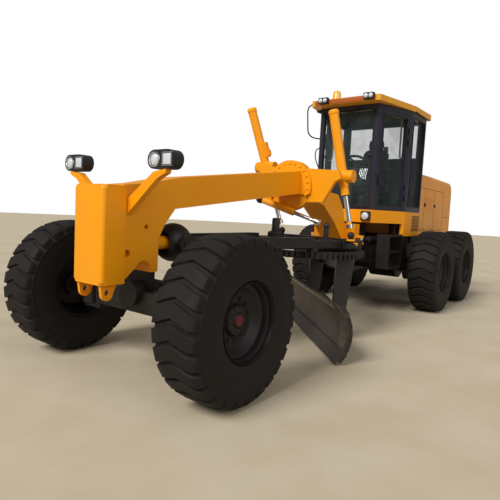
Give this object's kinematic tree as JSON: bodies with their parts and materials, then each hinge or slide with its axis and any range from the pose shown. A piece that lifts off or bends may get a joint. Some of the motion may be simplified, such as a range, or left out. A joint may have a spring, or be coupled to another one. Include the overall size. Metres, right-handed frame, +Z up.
{
  "type": "motor grader",
  "caption": "Articulated motor grader with gooseneck front frame, slewing blade, cab and tandem rear wheels.",
  "frame": {"origin": "on the ground, on the machine's centre plane, at half of the overall length", "axes": "+X forwards to the nose, +Y to the machine's left, +Z up"},
  "size_m": [8.9699, 2.7051, 3.4932],
  "materials": {
    "paint": "gloss",
    "black_steel": "satin",
    "chrome": "polished",
    "tyre": "matte",
    "rim": "satin",
    "blade_steel": "worn",
    "engine_iron": "matte",
    "cab_frame": "satin",
    "glass": "gloss",
    "plastic": "matte",
    "seat": "matte"
  },
  "bodies": {
    "rear": {"rear_frame": "black_steel", "tandems": "black_steel", "engine": "engine_iron", "hood": "paint", "grille": "black_steel", "exhaust": "black_steel", "cab_floor": "paint", "cab_frame": "cab_frame", "cab_glass": "glass", "roof": "paint", "roof_lamps": "plastic", "seat": "seat", "console": "plastic", "steps": "black_steel"},
    "front": {"front_frame": "paint", "headlamps": "plastic", "front_axle": "black_steel", "saddle": "paint"},
    "knuckle_left": {"knuckle_left": "black_steel"},
    "knuckle_right": {"knuckle_right": "black_steel"},
    "tie": {"tie_rod": "chrome"},
    "front_wheel_left": {"tyre_front_left": "tyre", "rim_front_left": "rim"},
    "front_wheel_right": {"tyre_front_right": "tyre", "rim_front_right": "rim"},
    "mid_wheel_left": {"tyre_mid_left": "tyre", "rim_mid_left": "rim"},
    "mid_wheel_right": {"tyre_mid_right": "tyre", "rim_mid_right": "rim"},
    "rear_wheel_left": {"tyre_rear_left": "tyre", "rim_rear_left": "rim"},
    "rear_wheel_right": {"tyre_rear_right": "tyre", "rim_rear_right": "rim"},
    "drawbar_ball": {"drawbar_cup": "black_steel"},
    "drawbar": {"drawbar": "black_steel"},
    "circle": {"circle_ring": "black_steel"},
    "carrier": {"blade_carrier": "black_steel"},
    "blade": {"moldboard": "blade_steel", "shift_rod": "chrome"},
    "lift_barrel_left": {"lift_barrel_left": "paint"},
    "lift_barrel_right": {"lift_barrel_right": "paint"},
    "lift_rod_left": {"lift_rod_left": "chrome"},
    "lift_rod_right": {"lift_rod_right": "chrome"},
    "centre_ball": {"centre_ball": "black_steel"},
    "centre_barrel": {"centre_barrel": "paint"},
    "centre_rod": {"centre_rod": "chrome"},
    "art_barrel_left": {"art_barrel_left": "black_steel"},
    "art_barrel_right": {"art_barrel_right": "black_steel"},
    "art_rod_left": {"art_rod_left": "chrome"},
    "art_rod_right": {"art_rod_right": "chrome"},
    "door_left": {"door_left": "cab_frame", "door_glass_left": "glass"},
    "door_right": {"door_right": "cab_frame", "door_glass_right": "glass"}
  },
  "joints": [
    {"name": "articulation", "type": "hinge", "parent": "rear", "child": "front", "pos_m": [-0.33, 0, 1.105], "axis": [0, 0, 1], "range_deg": [-27, 27]},
    {"name": "steer_left", "type": "hinge", "parent": "front", "child": "knuckle_left", "pos_m": [3.81, 0.76, 0.675], "axis": [0, 0, 1], "range_deg": [-45, 45]},
    {"name": "wheel_front_left", "type": "hinge", "parent": "knuckle_left", "child": "front_wheel_left", "pos_m": [3.81, 1.075, 0.675], "axis": [0, 1, 0], "continuous": true},
    {"name": "steer_right", "type": "hinge", "parent": "front", "child": "knuckle_right", "pos_m": [3.81, -0.76, 0.675], "axis": [0, 0, 1], "range_deg": [-45, 45]},
    {"name": "wheel_front_right", "type": "hinge", "parent": "knuckle_right", "child": "front_wheel_right", "pos_m": [3.81, -1.075, 0.675], "axis": [0, 1, 0], "continuous": true},
    {"name": "tie_slide", "type": "slide", "parent": "front", "child": "tie", "axis": [0, 1, 0], "range_m": [-0.17, 0.17]},
    {"name": "wheel_mid_left", "type": "hinge", "parent": "rear", "child": "mid_wheel_left", "pos_m": [-1.64, 1.09, 0.675], "axis": [0, 1, 0], "continuous": true},
    {"name": "wheel_mid_right", "type": "hinge", "parent": "rear", "child": "mid_wheel_right", "pos_m": [-1.64, -1.09, 0.675], "axis": [0, 1, 0], "continuous": true},
    {"name": "wheel_rear_left", "type": "hinge", "parent": "rear", "child": "rear_wheel_left", "pos_m": [-3.178, 1.09, 0.675], "axis": [0, 1, 0], "continuous": true},
    {"name": "wheel_rear_right", "type": "hinge", "parent": "rear", "child": "rear_wheel_right", "pos_m": [-3.178, -1.09, 0.675], "axis": [0, 1, 0], "continuous": true},
    {"name": "drawbar_swing", "type": "hinge", "parent": "front", "child": "drawbar_ball", "pos_m": [3.42, 0, 1.19], "axis": [0, 0, 1], "range_deg": [-5, 8]},
    {"name": "drawbar_lift", "type": "hinge", "parent": "drawbar_ball", "child": "drawbar", "pos_m": [3.42, 0, 1.19], "axis": [0.108, 0.9942, 0], "range_deg": [-12, 8]},
    {"name": "circle_turn", "type": "hinge", "parent": "drawbar", "child": "circle", "pos_m": [1.19807, 0.24138, 1.05], "axis": [0, 0, 1], "continuous": true},
    {"name": "blade_pitch", "type": "hinge", "parent": "circle", "child": "carrier", "pos_m": [0.99801, 0.44855, 0.33], "axis": [0.7193, 0.6947, 0], "range_deg": [-20, 20]},
    {"name": "side_shift", "type": "slide", "parent": "carrier", "child": "blade", "axis": [-0.7193, -0.6947, 0], "range_m": [-0.5, 0.5]},
    {"name": "lift_swing_left", "type": "hinge", "parent": "front", "child": "lift_barrel_left", "pos_m": [1.145, 0.673, 2.029], "axis": [1, 0, 0], "range_deg": [-25.5, 16]},
    {"name": "lift_stroke_left", "type": "slide", "parent": "lift_barrel_left", "child": "lift_rod_left", "axis": [0.0669, -0.1895, 0.9796], "range_m": [-0.505, 0.34]},
    {"name": "lift_swing_right", "type": "hinge", "parent": "front", "child": "lift_barrel_right", "pos_m": [1.145, -0.509, 2.163], "axis": [1, 0, 0], "range_deg": [-25.5, 16]},
    {"name": "lift_stroke_right", "type": "slide", "parent": "lift_barrel_right", "child": "lift_rod_right", "axis": [0.1875, -0.2312, 0.9547], "range_m": [-0.505, 0.34]},
    {"name": "centre_yaw", "type": "hinge", "parent": "front", "child": "centre_ball", "pos_m": [1.4055, -0.4, 1.71], "axis": [-0.6808, 0.2096, 0.7019], "range_deg": [-4.5, 7]},
    {"name": "centre_tilt", "type": "hinge", "parent": "centre_ball", "child": "centre_barrel", "pos_m": [1.4055, -0.4, 1.71], "axis": [0.9946, -0.0252, -0.1004], "range_deg": [-23, 15.5]},
    {"name": "centre_stroke", "type": "slide", "parent": "centre_barrel", "child": "centre_rod", "axis": [-0.0048, 0.9569, -0.2903], "range_m": [-0.28, 0.175]},
    {"name": "art_swing_left", "type": "hinge", "parent": "rear", "child": "art_barrel_left", "pos_m": [-1.15, 0.38, 1.18], "axis": [0, 0, 1], "range_deg": [-5, 5]},
    {"name": "art_stroke_left", "type": "slide", "parent": "art_barrel_left", "child": "art_rod_left", "axis": [0.9998, 0.0204, 0], "range_m": [-0.2, 0.2]},
    {"name": "art_swing_right", "type": "hinge", "parent": "rear", "child": "art_barrel_right", "pos_m": [-1.15, -0.38, 1.18], "axis": [0, 0, 1], "range_deg": [-5, 5]},
    {"name": "art_stroke_right", "type": "slide", "parent": "art_barrel_right", "child": "art_rod_right", "axis": [0.9998, -0.0204, 0], "range_m": [-0.2, 0.2]},
    {"name": "door_left", "type": "hinge", "parent": "rear", "child": "door_left", "pos_m": [-1.0279, 0.74494, 2.45], "axis": [0, 0, 1], "range_deg": [0, 85]},
    {"name": "door_right", "type": "hinge", "parent": "rear", "child": "door_right", "pos_m": [-1.0279, -0.74494, 2.45], "axis": [0, 0, -1], "range_deg": [0, 85]}
  ],
  "couplings": [
    {"joint": "steer_right", "follows": "steer_left", "ratio": 1},
    {"joint": "tie_slide", "follows": "steer_left", "m_per_rad": -0.2},
    {"joint": "lift_swing_left", "follows": "drawbar_swing", "ratio": -3.091},
    {"joint": "lift_stroke_left", "follows": "drawbar_lift", "m_per_rad": 2.355},
    {"joint": "lift_swing_right", "follows": "drawbar_swing", "ratio": -2.682},
    {"joint": "lift_stroke_right", "follows": "drawbar_lift", "m_per_rad": 2.306},
    {"joint": "centre_yaw", "follows": "drawbar_swing", "ratio": 0.806},
    {"joint": "centre_tilt", "follows": "drawbar_lift", "ratio": 1.86},
    {"joint": "centre_stroke", "follows": "drawbar_swing", "m_per_rad": -1.93},
    {"joint": "art_swing_left", "follows": "articulation", "ratio": 0.15},
    {"joint": "art_stroke_left", "follows": "articulation", "m_per_rad": -0.385},
    {"joint": "art_swing_right", "follows": "articulation", "ratio": 0.15},
    {"joint": "art_stroke_right", "follows": "articulation", "m_per_rad": 0.385}
  ]
}
